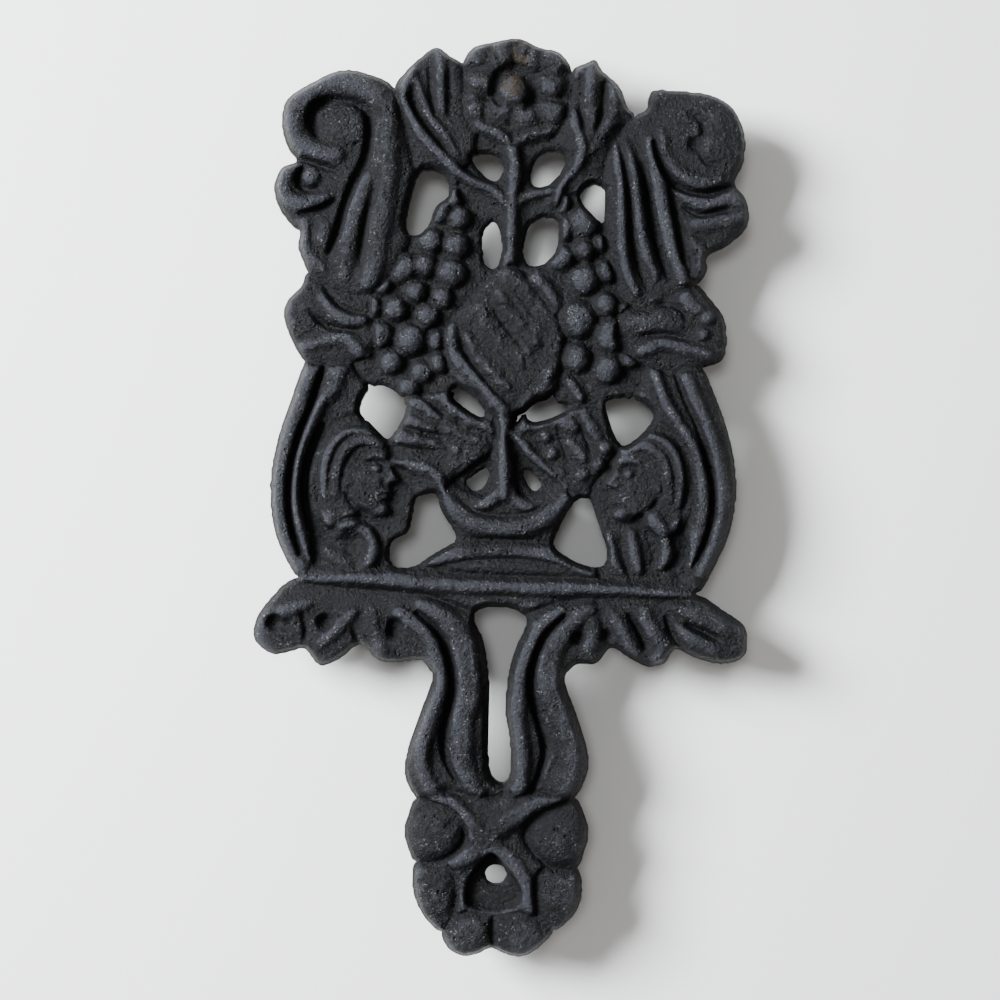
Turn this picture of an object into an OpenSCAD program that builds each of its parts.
// Cast-iron table trivet with a handle: an openwork ornamental casting on short pegs.
// Plan directions: +X is right, +Y is away from the handle, +Z is up. The pegs stand on z = 0.

/* [Overall] */
// Length from the handle's end to the top of the crest
overall_length = 216; // [160:1:260]
// Width over the tips of the leaves beside the handle
overall_width = 116; // [86:1:140]

/* [Casting] */
// Thickness of the web between the ornaments
web = 4; // [3:0.5:7]
// Height of the ornament above the web
relief = 3.5; // [2.5:0.5:6]

/* [Pegs] */
// Height of the pegs under the back face
peg_height = 11; // [6:0.5:18]
// Diameter of a peg where it stands
peg_tip_d = 7; // [5:0.5:9]
// Diameter of a peg where it leaves the back face
peg_root_d = 9; // [9:0.5:12]

/* [Hanging eye] */
// Diameter of the hole that hangs on a nail or hook
hang_hole_d = 5; // [4:0.5:7]
// Thickness of the floor that the hole goes through
eye_floor = 3; // [2:0.5:3]
// Width of iron left round the hole at the floor of its recess
eye_margin = 3.5; // [2.5:0.5:4]

/* [Ornament] */
// Radius of the bars that frame the platform
bar_r = 2.4; // [1.5:0.1:3]
// Radius of the fine veins and petals
vein_r = 1.6; // [1:0.1:2]
// Radius of the berries
berry_r = 3.2; // [2.5:0.1:4]
// Height of a berry above the web
berry_height = 3; // [2:0.1:4]

/* [Hidden] */
iron = [0.13, 0.13, 0.14];
$fn = 32;

// The plan is drawn 116 wide and 216 long, and stretched to the sizes above.
drawn_width = 116;
drawn_length = 216;
kx = overall_width / drawn_width;
ky = overall_length / drawn_length;
full = web + relief;
// Points that a smooth outline gets between two drawn ones.
steps = 4;

// ---- Outlines at the back face, as drawn ----
crest_flower_edge = [[-12, 101.8], [-9.5, 105.7], [-5, 107], [1, 108], [6, 106], [10.5, 105],
    [13.5, 101.3], [14, 95], [12.5, 88], [8, 84], [1, 82.5], [-6, 84], [-10.5, 89], [-11.5, 96]];
crest_leaf_left_edge = [[-28, 95.7], [-25.5, 99.5], [-22, 103], [-18.3, 105.5], [-15, 103.5],
    [-12, 101.8], [-9, 97], [-9, 89], [-7, 83], [-7.5, 78], [-8, 73.5], [-12, 72.5], [-15, 73.5],
    [-19, 74.5], [-24, 75], [-27, 80], [-27.5, 88]];
crest_leaf_right_edge = [[14, 101], [16.5, 102.4], [19.2, 103.4], [21, 100.8], [25, 97.2], [27, 92.5],
    [28.7, 90.2], [27.5, 84], [24.5, 76], [20, 72.5], [15, 71.5], [9, 72], [9, 78], [9.5, 84],
    [10.5, 90], [12.5, 96]];
crest_stem_edge = [[-7.5, 86], [0, 86.5], [9.5, 86], [10, 79], [12, 75], [12, 68], [7, 66], [5, 60],
    [6, 53], [0, 50], [-6, 53], [-6.5, 60], [-8, 67], [-12, 70], [-12, 76], [-9, 79.5]];
volute_left_edge = [[-28, 95.6], [-34, 98.8], [-40, 99.7], [-46, 97.3], [-53, 92.6], [-54.2, 86.5],
    [-52.8, 81.3], [-50.6, 78], [-54, 76.3], [-55.7, 72], [-54.5, 67], [-51.3, 62.9], [-49.4, 61.4],
    [-49.8, 58], [-48.4, 54.3], [-47, 51.8], [-42, 48.5], [-36, 46.5], [-30, 48.5], [-25, 56],
    [-22.5, 64], [-22.3, 74], [-24.5, 84]];
volute_right_edge = [[28.6, 90.3], [31.6, 92.3], [32.7, 96.4], [39, 96.5], [46, 95.9], [51.5, 93],
    [54.6, 87], [54.5, 80], [52.6, 75.2], [55.5, 71], [55.8, 65.2], [51.3, 60.6], [46.7, 58],
    [46.4, 54.2], [44.1, 51], [38, 48], [31, 44.5], [26.5, 48.5], [23, 57], [21.4, 65], [21.4, 74],
    [23, 81], [25.3, 86.5]];
side_leaf_left_edge = [[-47, 52], [-48.8, 48.6], [-52, 45], [-52.7, 41.3], [-51, 36.5], [-47.4, 30.8],
    [-42, 30], [-36, 31], [-31, 35], [-32, 42], [-33, 48], [-40, 51]];
side_leaf_right_edge = [[44.1, 51.2], [47.5, 47.7], [50.4, 44.2], [51.5, 40], [50.8, 33.8],
    [46, 31.7], [40, 30], [33, 31.5], [26, 36], [26, 43], [31, 47.5], [38, 51]];
berries_left_edge = [[-20, 64.5], [-17, 69.5], [-14, 73.5], [-9.5, 73.5], [-6.5, 67], [-5.5, 60],
    [-3.6, 51.6], [-7, 44], [-13, 38], [-12, 31], [-11.5, 26], [-15.5, 24.3], [-20, 23.8], [-24.5, 23],
    [-30, 25], [-35, 28], [-38, 36], [-37, 44], [-33, 49.5], [-29, 54], [-26, 60]];
berries_right_edge = [[9, 74], [15, 74.5], [18.8, 70.6], [23, 66.5], [25.5, 58], [28, 51], [31, 44],
    [31.5, 36], [32.5, 29], [29, 23.6], [24, 22.6], [18, 21.4], [13.5, 21.5], [10, 27], [9.5, 36],
    [7, 44], [3.5, 52], [8, 56], [10, 61], [8, 67]];
centre_fruit_edge = [[0, 54.7], [5, 51], [10, 45], [13.5, 38], [13, 31], [11.5, 25], [7, 21.8], [3, 19.4],
    [0, 18.5], [-3.5, 19.4], [-8, 23], [-13, 28], [-15, 35], [-14.5, 39], [-11, 44], [-5.5, 50]];
fan_leaf_left_edge = [[-10.5, 23.6], [-14, 25], [-19.5, 26], [-24.5, 22], [-26.5, 16.5], [-29, 12],
    [-28, 6], [-23, 0], [-16, -1.5], [-13, 3], [-8, 7], [-3, 11], [-1.7, 15], [-3, 19.5], [-7, 20.8]];
fan_leaf_right_edge = [[1.7, 15], [4, 19.5], [9, 21], [14, 23], [19, 23.5], [24.8, 22.5], [26.5, 17],
    [28, 11.5], [27, 5], [22, 0], [17, -1], [13.5, 3.2], [9, 6.8], [5, 10]];
side_scroll_left_edge = [[-47.4, 31], [-50.7, 21.5], [-53.6, 12], [-55, 2], [-54, -8], [-51.2, -15],
    [-47.9, -19.8], [-43, -20], [-39.5, -19], [-39.5, -13], [-41.5, -8], [-43, 1], [-40, 8],
    [-36, 14], [-33, 18.5], [-32.5, 24], [-34, 31], [-38, 35], [-43, 35.5]];
side_scroll_right_edge = [[45.8, 31.8], [49.2, 25], [52.4, 16.5], [54.3, 8], [54.5, 0], [53, -8],
    [49.8, -15.4], [47.3, -20.3], [45, -21.6], [41, -21.2], [38, -20], [38, -13], [41, -6], [42, 2],
    [40, 9], [37, 14], [33.6, 17.8], [32, 22], [29.5, 26.5], [31.5, 31.5], [35, 34.5], [41, 35]];
head_left_edge = [[-37, 18], [-32, 17], [-28, 13.5], [-24.5, 8.5], [-20.5, 2], [-20, -4],
    [-21, -9], [-26, -11.5], [-32, -11.5], [-38, -11], [-43, -8.5], [-45.5, -2], [-45.5, 6], [-42.5, 13]];
head_right_edge = [[36, 18], [31, 16.2], [27.5, 12.8], [24, 8.5], [20.5, 3], [20.3, -3],
    [22, -9], [26, -11], [31, -11], [37, -10.5], [41.5, -8.5], [44.5, -2], [44.3, 6], [41, 13]];
collar_left_edge = [[-42, -6], [-34, -7.5], [-28, -8], [-24.5, -9.5], [-25, -13], [-25, -17],
    [-29, -20], [-36, -21], [-43, -19], [-45, -12]];
collar_right_edge = [[41, -6], [34, -7], [27, -7], [23, -8.5], [22, -12], [22, -16], [24, -20],
    [32, -21], [41, -20], [44, -12]];
bowl_edge = [[-17.5, 4], [-16, -1], [-13.5, -5.5], [-12.2, -10], [-6, -13], [0, -13.5], [6, -13],
    [13.2, -10.4], [15.2, -5], [18.5, 1], [14.5, 5], [8, 9], [3.5, 12.5], [2.6, 17], [2.4, 21.5],
    [-2.4, 21.5], [-2.6, 17], [-3.5, 12.5], [-8, 9]];
bowl_foot_edge = [[-21.5, -16.2], [-14, -11.8], [-7, -10], [0, -9.6], [7, -10], [12.5, -11],
    [19, -13.8], [25.5, -16.2], [24, -20], [16, -21.5], [0, -22], [-17, -21]];
shelf_edge = [[-48.4, -20], [-40, -18.8], [-30, -17.4], [-22, -16.2], [-16, -17], [-8, -18.3],
    [8, -18.6], [20, -18.8], [32, -19.5], [40, -20.6], [46.5, -22], [39, -23], [28, -22.6], [18, -23.6],
    [10.5, -25.2], [5.5, -27.4], [3, -26.2], [-3, -25.8], [-7, -27.4], [-14, -24.6], [-25, -22.5],
    [-38, -22]];
apron_left_edge = [[-48.4, -20], [-54, -24.6], [-57.6, -30], [-57.7, -35], [-53.6, -38],
    [-49, -37.3], [-46, -36.6], [-42.5, -40.4], [-38, -39], [-33, -35.4], [-28.5, -39], [-23, -39.2],
    [-18.5, -38.7], [-15.6, -41.5], [-12.5, -37], [-14, -30], [-17, -23.5], [-25, -20.8],
    [-38, -20.8]];
apron_right_edge = [[46.5, -22], [52, -25.2], [57, -28.6], [58.1, -32.6], [57, -36.4], [52, -38],
    [46, -36.7], [41.2, -34.7], [38.7, -38.1], [34.5, -38.9], [30, -36.8], [26, -34.7], [22.8, -38.4],
    [18, -38.9], [14.8, -41.2], [12, -37], [13, -30], [16, -23.5], [25, -21.3], [38, -21.9]];
handle_rail_left_edge = [[-19.5, -21.8], [-14, -22.5], [-6.6, -24], [-5.6, -29], [-3.6, -34], [-2.4, -41],
    [-1.8, -50], [-1, -62], [1, -67], [1, -71], [-5, -74], [-12, -74], [-18.8, -71.2],
    [-21.8, -65.4], [-20.9, -58.5], [-18.3, -50.5], [-15.9, -43.5], [-16, -40], [-14, -36],
    [-15.5, -31]];
handle_rail_right_edge = [[20, -22], [13, -23], [5.4, -25.2], [5.6, -30], [3.8, -35], [2.2, -41],
    [1.6, -48], [1.8, -55], [2, -62], [0.5, -67], [0, -71], [5, -74], [12, -73], [18.2, -70.3],
    [21.2, -64], [20.9, -58.5], [18.6, -51.5], [15.5, -43.5], [15.6, -40], [13.5, -36], [15, -31]];
handle_knot_edge = [[-16.5, -71.6], [-12, -69.5], [-5, -70], [0, -70.5], [5, -70], [12, -68.8],
    [16, -71], [16, -76], [10, -84], [6, -88], [0, -86], [-6, -88], [-10, -84], [-16.5, -76]];
boss_left_edge = [[-18.7, -71.3], [-20.7, -75], [-21.6, -79], [-20.6, -83], [-18.6, -86.2],
    [-12.5, -85.8], [-7.5, -81.5], [-7.2, -76.5], [-11.5, -72.2]];
boss_right_edge = [[18.1, -70.4], [20.8, -74.5], [21.8, -78.7], [20.8, -83], [19.1, -86.8],
    [13.5, -87], [8, -82.5], [6.6, -77.5], [11, -72.5]];
hang_eye_edge = [[-11, -84], [-4, -80], [0, -79], [4, -80], [11, -84], [13, -91], [12, -98],
    [9, -104], [0, -105], [-9, -104], [-12, -98], [-13, -91]];
end_petal_left_edge = [[-18.6, -86.2], [-19.4, -90], [-18.8, -94.5], [-16, -99.6], [-12.4, -102.3],
    [-9.5, -98], [-8.5, -93], [-9.5, -88], [-13, -85]];
end_petal_right_edge = [[19.1, -86.8], [20.6, -91], [19.9, -95.6], [17.4, -99.3], [14, -101.4],
    [10.5, -98], [9.2, -93], [9.8, -88], [13.5, -85.5]];
end_petals_tip_edge = [[-12.4, -102.2], [-10.6, -106.4], [-7, -108], [-3.6, -107.4], [-0.5, -106],
    [3, -107.4], [7, -107.8], [11, -105.4], [14, -101.4], [11, -98.5], [6, -97.5], [0, -98],
    [-6, -97.5], [-10, -98.5]];

// ---- Openings through the casting, as drawn ----
openings = [
    // between the left volute and the berries
    [[-21.5, 76.2], [-17.5, 76.5], [-15, 74.5], [-14.8, 70.5], [-17.6, 68], [-19.2, 63.6],
        [-21.6, 61.3], [-23.8, 61.6], [-24.5, 64.5], [-23.5, 70]],
    // between the right volute and the berries
    [[16.4, 71.6], [18, 73.6], [20, 74.3], [22, 73.4], [22.4, 70], [22, 65.2], [20, 66.4],
        [17.2, 69.2]],
    // under the crest flower
    [[-9.3, 80], [-6.5, 81], [-2.8, 80.2], [-1.8, 77.2], [-3.4, 74.5], [-6, 75.2], [-8.4, 77.8]],
    [[4.6, 76], [6, 80.2], [8.5, 81.8], [11.6, 81.8], [12.8, 79.4], [10.8, 75.6], [8, 73.4],
        [5.2, 73.6]],
    // beside the stem
    [[-6.2, 62.6], [-4.2, 65], [-2.6, 63.6], [-1.8, 59], [-2.6, 54.6], [-4.4, 53.8], [-6, 55.4],
        [-6.4, 58.8]],
    [[3.4, 60], [4.6, 64.2], [7.6, 66.2], [10.8, 66], [11.6, 63.5], [11, 58.6], [8.5, 55.4],
        [5, 54.6], [3.3, 57]],
    // between the side scrolls and the fan leaves
    [[-34.4, 19.5], [-33, 24], [-30, 25.8], [-26.5, 24.6], [-23.6, 21.6], [-24.2, 18], [-26.6, 14],
        [-28.4, 13.4], [-31.5, 16.5]],
    [[23.4, 22.4], [25, 23.8], [29, 24.1], [32.4, 23], [34.9, 20.2], [32.8, 16.4], [28.6, 13],
        [26.4, 14], [24.6, 18]],
    // beside the tip of the centre fruit
    [[-12.4, 23.8], [-10.6, 25.3], [-7.2, 23.2], [-5, 20.2], [-5.6, 18.8], [-8.4, 20], [-11.4, 22.2]],
    [[5, 20.6], [7.6, 22.7], [11, 22.9], [14.8, 21.6], [11.6, 19.4], [7.2, 18], [5.1, 18.8]],
    // inside the bowl
    [[-9, 3.4], [-7.6, 4.8], [-4.6, 6.8], [-3.6, 5.4], [-4.6, 2.6], [-6.6, 1.5], [-8.3, 2.1]],
    [[4.4, 6], [5.8, 6.7], [7.4, 5.4], [8.8, 3.2], [7.6, 1.8], [5.9, 2.6]],
    // between the heads and the bowl
    [[-20, -0.2], [-16, 0.4], [-14.6, -3.4], [-11.2, -8.8], [-12, -11], [-16.8, -14], [-20.5, -16.6],
        [-25, -17.1], [-26.7, -14.5], [-26, -10.8], [-22.6, -8.8], [-21.5, -5], [-21, -1.6]],
    [[12.1, -9.6], [14, -5.2], [16, -1.6], [18, 0.2], [20.4, 0], [21.8, -3.6], [23.6, -8.6],
        [24.8, -12.4], [23.8, -15.6], [19.5, -15.6], [14.4, -13.2], [12.2, -11.2]],
    // the slot between the handle's rails
    [[0, -25.7], [4.6, -27], [6.2, -29], [5.2, -32], [3, -37], [1.6, -43], [1.5, -50], [2.6, -56],
        [3.1, -62], [2.6, -66.4], [0.6, -67.2], [-1.4, -65.4], [-2.2, -61], [-2.2, -50], [-2.6, -42],
        [-4, -34], [-6.2, -29.4], [-5.4, -26.6]]];

// ---- Geometry ----
function put(p) = [p.x * kx, p.y * ky];

// A point on the smooth curve from b to c, with a and d before and after them.
function along(a, b, c, d, t) =
    0.5 * (2 * b + (c - a) * t + (2 * a - 5 * b + 4 * c - d) * t * t
        + (3 * b - a - 3 * c + d) * t * t * t);

// A smooth closed outline through the drawn points.
function smooth(p) = let (n = len(p)) [for (i = [0 : n - 1]) for (s = [0 : steps - 1])
    put(along(p[(i + n - 1) % n], p[i], p[(i + 1) % n], p[(i + 2) % n], s / steps))];

// Centre of the circle through three points.
function centre(a, b, c) =
    let (d = 2 * (a.x * (b.y - c.y) + b.x * (c.y - a.y) + c.x * (a.y - b.y)))
    [((a * a) * (b.y - c.y) + (b * b) * (c.y - a.y) + (c * c) * (a.y - b.y)) / d,
        ((a * a) * (c.x - b.x) + (b * b) * (a.x - c.x) + (c * c) * (b.x - a.x)) / d];

function bearing(o, p) = atan2(p.y - o.y, p.x - o.x);
function turn(a) = (a % 360 + 360) % 360;

// A round bar lying on the web, along the arc through three drawn points.
module arc_bar(points, r, height) {
    a = put(points[0]);
    b = put(points[1]);
    c = put(points[2]);
    o = centre(a, b, c);
    left = turn(bearing(o, b) - bearing(o, a)) < turn(bearing(o, c) - bearing(o, a));
    first = left ? a : c;
    last = left ? c : a;
    translate([o.x, o.y, web + height - r])
        rotate(bearing(o, first))
            rotate_extrude(angle = turn(bearing(o, last) - bearing(o, first)))
                translate([norm(a - o), 0])
                    circle(r);
}

// A straight round bar lying on the web, between two drawn points.
module straight_bar(points, r, height) {
    a = put(points[0]);
    b = put(points[1]);
    translate([a.x, a.y, web + height - r])
        rotate([0, 90, bearing(a, b)])
            cylinder(r = r, h = norm(b - a));
}

// Bars of the full height that frame the platform, and finer veins.
module bar(points) arc_bar(points, bar_r, relief);
module vein(points) {
    if (len(points) == 3)
        arc_bar(points, vein_r, relief * 0.7);
    else
        straight_bar(points, vein_r, relief * 0.7);
}

// A round cap of a given plan radius and height above the web.
module cap(at, r, height) {
    ball = (r * r + height * height) / (2 * height);
    translate([put(at).x, put(at).y, web + height - ball])
        sphere(ball);
}

module berries(places)
    for (p = places)
        cap(p, berry_r, berry_height);

module plan(edge, over) {
    difference() {
        polygon(smooth(edge));
        for (e = over)
            polygon(smooth(e));
        for (o = openings)
            polygon(smooth(o));
    }
}

// A stretch of the casting: its web, with the ornament given as children, inside its own outline
// and clear of the pieces that lie over it.
module casting(edge, over = []) {
    color(iron)
        translate([0, 0, peg_height])
            intersection() {
                linear_extrude(full)
                    plan(edge, over);
                union() {
                    translate([-overall_width, -overall_length, -1])
                        cube([2 * overall_width, 2 * overall_length, web + 1]);
                    children();
                }
            }
}

// ---- Crest ----
petals = 8;
flower_at = [1, 94.5];
petal_ring = 7.5;

module crest_flower()
    casting(crest_flower_edge) {
        cap(flower_at, 4.2, relief);
        for (i = [0 : petals - 1])
            cap(flower_at + petal_ring * [cos(i * 360 / petals), sin(i * 360 / petals)], 3.4, relief * 0.8);
    }

module crest_leaf_left()
    casting(crest_leaf_left_edge, [crest_flower_edge, volute_left_edge, crest_stem_edge]) {
        vein([[-18, 102], [-17.5, 92], [-13.5, 83]]);
        vein([[-22.5, 98], [-19, 88], [-13, 80]]);
        vein([[-25.5, 94], [-20, 84], [-11, 75]]);
    }

module crest_leaf_right()
    casting(crest_leaf_right_edge, [crest_flower_edge, volute_right_edge, crest_stem_edge]) {
        vein([[19, 100], [17.5, 92], [14, 84]]);
        vein([[23, 96], [20.5, 88], [15, 80]]);
        vein([[13, 90], [12.5, 83], [14, 77]]);
    }

module crest_stem()
    casting(crest_stem_edge, [crest_flower_edge, centre_fruit_edge]) {
        vein([[0.8, 84], [0.8, 54]]);
        vein([[-11, 75], [-5, 72.5], [-0.5, 66]]);
        vein([[11, 73.5], [5, 71.5], [1.5, 66]]);
    }

// ---- Platform ----
module volute_left()
    casting(volute_left_edge) {
        bar([[-35, 92.5], [-45, 94], [-50.5, 85]]);
        vein([[-50, 88], [-47, 80.5], [-39, 82]]);
        vein([[-33, 91], [-33, 72], [-40, 57]]);
        vein([[-28.5, 88], [-28.5, 70], [-33, 52]]);
        cap([-43, 88], 4, relief * 0.8);
        cap([-48, 73], 4.5, relief * 0.8);
        vein([[-52, 72], [-49, 66], [-42, 69]]);
        vein([[-47, 58], [-43, 62], [-38, 60]]);
    }

module volute_right()
    casting(volute_right_edge) {
        bar([[34.5, 87], [42, 94], [51.5, 86]]);
        vein([[51, 88.5], [48, 79.5], [38, 78.5]]);
        vein([[25.5, 83], [26.2, 65], [31.5, 47]]);
        vein([[31, 84], [30.4, 67], [36, 51]]);
        cap([45, 85.5], 4, relief * 0.8);
        cap([50, 67], 4.2, relief * 0.7);
    }

module side_leaf_left()
    casting(side_leaf_left_edge, [volute_left_edge]) {
        vein([[-46, 48], [-42, 44], [-35, 40]]);
        vein([[-50, 42], [-44, 38], [-36, 36]]);
    }

module side_leaf_right()
    casting(side_leaf_right_edge, [volute_right_edge]) {
        vein([[49, 44], [41, 44], [31, 41]]);
        vein([[49, 37], [41, 36.5], [31, 36]]);
    }

module berries_left()
    casting(berries_left_edge, [centre_fruit_edge, crest_stem_edge, crest_leaf_left_edge,
        volute_left_edge, side_leaf_left_edge])
        berries([[-16, 66], [-19, 59.5], [-12, 59.5], [-22.5, 53.5], [-14.5, 53], [-25.5, 47],
            [-18, 46], [-30.5, 44], [-12.5, 46], [-24, 40], [-18, 38.5], [-30, 37], [-24.5, 33],
            [-17, 31.5], [-29, 30.5], [-20, 26]]);

module berries_right()
    casting(berries_right_edge, [centre_fruit_edge, crest_stem_edge, crest_leaf_right_edge,
        volute_right_edge, side_leaf_right_edge])
        berries([[12, 70], [14.5, 63.5], [20, 61.5], [12.5, 57], [18.5, 54.5], [9.5, 50], [15.5, 48.5],
            [22.5, 48], [15.5, 41.5], [23.5, 41], [15.5, 34], [22.5, 34], [28, 36], [17, 27.5],
            [23.5, 29]]);

module centre_fruit()
    casting(centre_fruit_edge) {
        bar([[4, 48.5], [10, 40], [5.5, 28]]);
        bar([[-4, 48.5], [-11, 38], [-5.5, 28]]);
        vein([[-4.5, 42], [3, 32]]);
        vein([[0, 46], [5, 38]]);
    }

module fan_leaf_left()
    casting(fan_leaf_left_edge, [centre_fruit_edge, berries_left_edge, head_left_edge]) {
        vein([[-2, 14.5], [-12, 19.5], [-21, 22]]);
        vein([[-3, 13.5], [-13, 14.5], [-23, 13]]);
        vein([[-4, 12.5], [-12, 9.5], [-20, 8.5]]);
    }

module fan_leaf_right()
    casting(fan_leaf_right_edge, [centre_fruit_edge, berries_right_edge, head_right_edge]) {
        vein([[2.5, 14.5], [12, 18.5], [21, 19.5]]);
        vein([[3, 14], [12, 13.5], [22, 12]]);
        vein([[3, 13.5], [8, 9], [14, 5]]);
    }

module side_scroll_left()
    casting(side_scroll_left_edge, [side_leaf_left_edge, berries_left_edge, head_left_edge,
        collar_left_edge, shelf_edge]) {
        bar([[-42, 32], [-52, 4], [-46.5, -18]]);
        vein([[-38.5, 30], [-47.5, 6], [-42, -16]]);
    }

module side_scroll_right()
    casting(side_scroll_right_edge, [side_leaf_right_edge, berries_right_edge, head_right_edge,
        collar_right_edge, shelf_edge]) {
        bar([[41, 31], [50.5, 8], [46, -18]]);
        vein([[36, 28], [46.3, 4], [41, -16]]);
    }

// An idealised profile, looking toward +X, about a point in the middle of the skull.
profile_edge = [[0, 12], [6, 9.6], [8.4, 5.4], [8.2, 3.4], [10.6, -0.8], [8.8, -2], [9, -3.4],
    [8.6, -4.6], [8.2, -6.2], [8.6, -8.4], [5.5, -9.8], [1.5, -8.6], [1, -12], [-6, -12], [-7.5, -6],
    [-9, 2], [-6, 9.2]];
profile_height = 0.5;

// The profile in low relief on the web, with a cheek and three locks of hair swept back from it.
module profile(at, facing) {
    edge = [for (p = profile_edge) [at.x + facing * p.x, at.y + p.y]];
    translate([0, 0, web / 2])
        linear_extrude(web / 2 + relief * profile_height)
            polygon(smooth(edge));
    cap(at + [facing * 2.5, -1.5], 5, relief * 0.85);
    for (lock = [0 : 2])
        vein([at + [facing * (-1 - 2.6 * lock), 10 - lock], at + [facing * (-5.4 - 2 * lock), 1],
            at + [facing * (-2.5 - 2.4 * lock), -9]]);
}

module head_left()
    casting(head_left_edge)
        profile([-35.2, 4.2], 1);

module head_right()
    casting(head_right_edge)
        profile([34.4, 4.4], -1);

module collar_left()
    casting(collar_left_edge, [head_left_edge, shelf_edge]) {
        vein([[-38, -9], [-31, -11], [-31, -17]]);
        cap([-37.5, -14.5], 3, relief * 0.6);
    }

module collar_right()
    casting(collar_right_edge, [head_right_edge, shelf_edge]) {
        vein([[26, -9], [25.5, -13], [28, -18]]);
        vein([[31, -9], [31, -13], [33, -17]]);
        cap([38, -14.5], 3, relief * 0.6);
    }

module bowl()
    casting(bowl_edge, [centre_fruit_edge, fan_leaf_left_edge, fan_leaf_right_edge, bowl_foot_edge]) {
        bar([[-12.5, 0.5], [0, -6.5], [13, 0]]);
        vein([[0, 13], [0, -2]]);
    }

module bowl_foot()
    casting(bowl_foot_edge, [shelf_edge, collar_right_edge])
        bar([[-16.5, -17], [1, -12.5], [19, -17]]);

module shelf()
    casting(shelf_edge)
        straight_bar([[-46, -20.6], [44.5, -21.4]], bar_r, relief);

// ---- Handle ----
module apron_left()
    casting(apron_left_edge, [shelf_edge, handle_rail_left_edge]) {
        vein([[-44, -23], [-51, -25], [-55, -32]]);
        vein([[-34, -24], [-40, -28], [-42, -37]]);
        vein([[-22, -24], [-27, -29], [-27, -36]]);
        cap([-49, -32], 3.5, relief * 0.6);
        cap([-37, -33], 3.2, relief * 0.6);
        cap([-21, -33.5], 3.8, relief * 0.6);
    }

module apron_right()
    casting(apron_right_edge, [shelf_edge, handle_rail_right_edge]) {
        vein([[42, -23.5], [50, -27], [55, -33]]);
        vein([[32, -24], [35, -30], [37, -35]]);
        vein([[24, -24], [28, -30.5], [33, -36]]);
        cap([49, -33], 3.4, relief * 0.6);
        cap([21.5, -31], 3.6, relief * 0.7);
    }

module handle_rail_left()
    casting(handle_rail_left_edge, [shelf_edge, handle_knot_edge, boss_left_edge]) {
        bar([[-16.5, -28], [-5.8, -50], [-7.5, -68]]);
        vein([[-14, -35], [-12.2, -45], [-16.5, -56]]);
        bar([[-15.5, -54], [-17.2, -61], [-14, -68]]);
    }

module handle_rail_right()
    casting(handle_rail_right_edge, [shelf_edge, handle_knot_edge, boss_right_edge,
        handle_rail_left_edge]) {
        bar([[16.5, -28], [5.4, -50], [7, -68]]);
        vein([[14, -35], [12, -45], [16.5, -56]]);
        bar([[15.5, -54], [17, -61], [14, -68]]);
    }

module handle_knot()
    casting(handle_knot_edge, [boss_left_edge, boss_right_edge, hang_eye_edge]) {
        vein([[-17, -71.8], [-8, -73.5], [-1, -79]]);
        vein([[17, -71.2], [8, -73], [1, -79]]);
    }

module boss_left() casting(boss_left_edge) cap([-14.2, -79], 6.2, relief);
module boss_right() casting(boss_right_edge) cap([14.2, -79.2], 6.4, relief);

eye_at = [0.2, -88.8];

module hang_eye() {
    at = put(eye_at);
    recess_r = hang_hole_d / 2 + eye_margin;
    color(iron)
        difference() {
            casting(hang_eye_edge, [boss_left_edge, boss_right_edge, end_petal_left_edge,
                end_petal_right_edge, end_petals_tip_edge])
                vein([[-9, -87], [0, -81.5], [9, -87]]);
            translate([at.x, at.y, peg_height - 1])
                cylinder(d = hang_hole_d, h = full + 2);
            translate([at.x, at.y, peg_height + eye_floor])
                cylinder(r = recess_r, h = full);
        }
}

module end_petal_left() casting(end_petal_left_edge, [boss_left_edge]) cap([-14, -94], 5, relief * 0.9);
module end_petal_right() casting(end_petal_right_edge, [boss_right_edge]) cap([15, -93.5], 5, relief * 0.9);

module end_petals_tip()
    casting(end_petals_tip_edge, [end_petal_left_edge, end_petal_right_edge]) {
        cap([-6.5, -103], 4.6, relief * 0.9);
        cap([7, -102.5], 4.8, relief * 0.9);
    }

// ---- Pegs ----
module peg(at) {
    color(iron)
        translate([put(at).x, put(at).y, 0])
            cylinder(d1 = peg_tip_d, d2 = peg_root_d, h = peg_height);
}

peg_back = 84;
peg_front = -29.5;
peg_back_side = 42;
peg_front_side = 40;

crest_flower();
crest_leaf_left();
crest_leaf_right();
crest_stem();
volute_left();
volute_right();
side_leaf_left();
side_leaf_right();
berries_left();
berries_right();
centre_fruit();
fan_leaf_left();
fan_leaf_right();
side_scroll_left();
side_scroll_right();
head_left();
head_right();
collar_left();
collar_right();
bowl();
bowl_foot();
shelf();
apron_left();
apron_right();
handle_rail_left();
handle_rail_right();
handle_knot();
boss_left();
boss_right();
hang_eye();
end_petal_left();
end_petal_right();
end_petals_tip();
peg([-peg_back_side, peg_back]);  // peg_back_left
peg([peg_back_side, peg_back]);  // peg_back_right
peg([-peg_front_side, peg_front]);  // peg_front_left
peg([peg_front_side, peg_front]);  // peg_front_right
